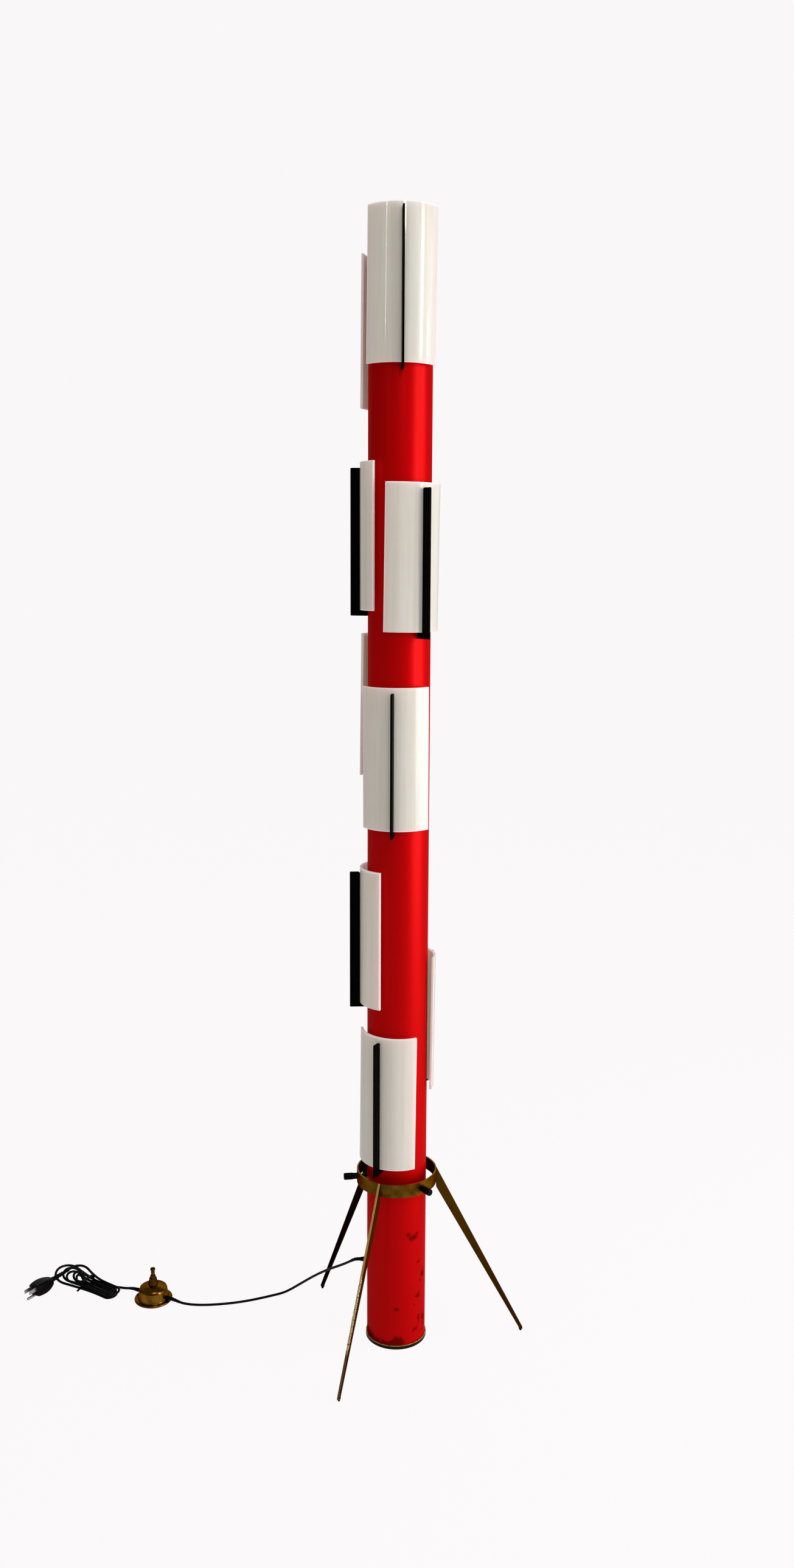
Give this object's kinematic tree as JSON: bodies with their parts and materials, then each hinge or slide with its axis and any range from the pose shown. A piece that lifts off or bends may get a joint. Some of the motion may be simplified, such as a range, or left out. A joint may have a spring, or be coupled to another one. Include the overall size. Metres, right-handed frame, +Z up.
{
  "type": "floor lamp",
  "caption": "Tall round column with staggered curved opal shades hung on flat fins, held upright in a three-legged collar, with a foot switch and a plug on its cord.",
  "frame": {"origin": "centre of the column's flat foot, on the floor", "axes": "+Z up along the column; -Y is the side seen from the front, +X to its right, the cord leaves towards -X"},
  "size_m": [0.8965, 0.3822, 1.8469],
  "materials": {
    "red_lacquer": "gloss red lacquer, chipped near the foot",
    "brass": "aged, semi-gloss",
    "black_metal": "satin black",
    "black_steel": "blackened",
    "opal_acrylic": "gloss opal",
    "bulb_glass": "frosted",
    "holder_plastic": "matt",
    "plated_steel": "zinc plated",
    "black_plastic": "moulded",
    "black_rubber": "matt",
    "cord_jacket": "semi-gloss"
  },
  "bodies": {
    "column": {"column_tube": "red_lacquer", "foot_cap": "brass", "top_cap": "black_metal", "fin_1": "black_metal", "fin_2": "black_metal", "fin_3": "black_metal", "fin_4": "black_metal", "fin_5": "black_metal", "fin_6": "black_metal", "fin_7": "black_metal", "fin_8": "black_metal", "fin_9": "black_metal", "bulb_1": "bulb_glass", "bulb_2": "bulb_glass", "bulb_3": "bulb_glass", "bulb_4": "bulb_glass", "bulb_5": "bulb_glass", "bulb_6": "bulb_glass", "bulb_7": "bulb_glass", "bulb_8": "bulb_glass", "bulb_9": "bulb_glass", "holder_brackets": "plated_steel", "lamp_holders": "holder_plastic", "cord_outlet": "black_rubber", "switch_base": "black_plastic", "switch_housing": "brass", "switch_bush": "brass", "switch_spring": "plated_steel", "switch_cord_entries": "black_rubber", "cord_to_switch": "cord_jacket", "cord_to_hank": "cord_jacket", "cord_hank": "cord_jacket", "cord_tie": "black_plastic", "plug_body": "black_plastic", "plug_blades": "plated_steel"},
    "stand": {"collar_ring": "brass", "thumbscrew_bosses": "brass", "leg_1": "brass", "leg_2": "brass", "leg_3": "brass", "leg_tips": "black_rubber"},
    "switch_button": {"switch_plunger": "brass"},
    "hung_shade_1": {"shade_1": "opal_acrylic"},
    "hung_shade_2": {"shade_2": "opal_acrylic"},
    "hung_shade_3": {"shade_3": "opal_acrylic"},
    "hung_shade_4": {"shade_4": "opal_acrylic"},
    "hung_shade_5": {"shade_5": "opal_acrylic"},
    "hung_shade_6": {"shade_6": "opal_acrylic"},
    "hung_shade_7": {"shade_7": "opal_acrylic"},
    "hung_shade_8": {"shade_8": "opal_acrylic"},
    "hung_shade_9": {"shade_9": "opal_acrylic"},
    "screw_stud_1": {"thumbscrew_stud_1": "black_steel"},
    "screw_knob_1": {"thumbscrew_knob_1": "black_plastic"},
    "screw_stud_2": {"thumbscrew_stud_2": "black_steel"},
    "screw_knob_2": {"thumbscrew_knob_2": "black_plastic"},
    "screw_stud_3": {"thumbscrew_stud_3": "black_steel"},
    "screw_knob_3": {"thumbscrew_knob_3": "black_plastic"}
  },
  "joints": [
    {"name": "collar_slide", "type": "slide", "parent": "column", "child": "stand", "axis": [0, 0, 1], "range_m": [-0.06, 0]},
    {"name": "button_press", "type": "slide", "parent": "column", "child": "switch_button", "axis": [0, 0, -1], "range_m": [0, 0.003], "stiffness_N_per_m": 1500, "springref_m": -0.002, "deforming": ["switch_spring"]},
    {"name": "shade_1_lift", "type": "slide", "parent": "column", "child": "hung_shade_1", "axis": [0.0579, -0.7047, 0.7071], "range_m": [0, 0.035]},
    {"name": "shade_2_lift", "type": "slide", "parent": "column", "child": "hung_shade_2", "axis": [-0.321, 0.63, 0.7071], "range_m": [0, 0.035]},
    {"name": "shade_3_lift", "type": "slide", "parent": "column", "child": "hung_shade_3", "axis": [-0.6988, 0.1082, 0.7071], "range_m": [0, 0.035]},
    {"name": "shade_4_lift", "type": "slide", "parent": "column", "child": "hung_shade_4", "axis": [0.4353, -0.5572, 0.7071], "range_m": [0, 0.035]},
    {"name": "shade_5_lift", "type": "slide", "parent": "column", "child": "hung_shade_5", "axis": [-0.3536, 0.6124, 0.7071], "range_m": [0, 0.035]},
    {"name": "shade_6_lift", "type": "slide", "parent": "column", "child": "hung_shade_6", "axis": [-0.0837, -0.7021, 0.7071], "range_m": [0, 0.035]},
    {"name": "shade_7_lift", "type": "slide", "parent": "column", "child": "hung_shade_7", "axis": [-0.7045, -0.0604, 0.7071], "range_m": [0, 0.035]},
    {"name": "shade_8_lift", "type": "slide", "parent": "column", "child": "hung_shade_8", "axis": [0.5255, 0.4731, 0.7071], "range_m": [0, 0.035]},
    {"name": "shade_9_lift", "type": "slide", "parent": "column", "child": "hung_shade_9", "axis": [-0.3183, -0.6314, 0.7071], "range_m": [0, 0.035]},
    {"name": "screw_1_travel", "type": "slide", "parent": "stand", "child": "screw_stud_1", "axis": [-0.9848, -0.1736, 0], "range_m": [0, 0.004]},
    {"name": "screw_1_turn", "type": "hinge", "parent": "screw_stud_1", "child": "screw_knob_1", "pos_m": [-0.07878, -0.01389, 0.29575], "axis": [-0.9848, -0.1736, 0], "range_deg": [0, 1440.1]},
    {"name": "screw_2_travel", "type": "slide", "parent": "stand", "child": "screw_stud_2", "axis": [0.6428, -0.766, 0], "range_m": [0, 0.004]},
    {"name": "screw_2_turn", "type": "hinge", "parent": "screw_stud_2", "child": "screw_knob_2", "pos_m": [0.05142, -0.06128, 0.29575], "axis": [0.6428, -0.766, 0], "range_deg": [0, 1440.1]},
    {"name": "screw_3_travel", "type": "slide", "parent": "stand", "child": "screw_stud_3", "axis": [0.342, 0.9397, 0], "range_m": [0, 0.004]},
    {"name": "screw_3_turn", "type": "hinge", "parent": "screw_stud_3", "child": "screw_knob_3", "pos_m": [0.02736, 0.07518, 0.29575], "axis": [0.342, 0.9397, 0], "range_deg": [0, 1440.1]}
  ],
  "couplings": [
    {"joint": "screw_1_turn", "follows": "screw_1_travel", "rad_per_m": 6283.2},
    {"joint": "screw_2_turn", "follows": "screw_2_travel", "rad_per_m": 6283.2},
    {"joint": "screw_3_turn", "follows": "screw_3_travel", "rad_per_m": 6283.2}
  ]
}
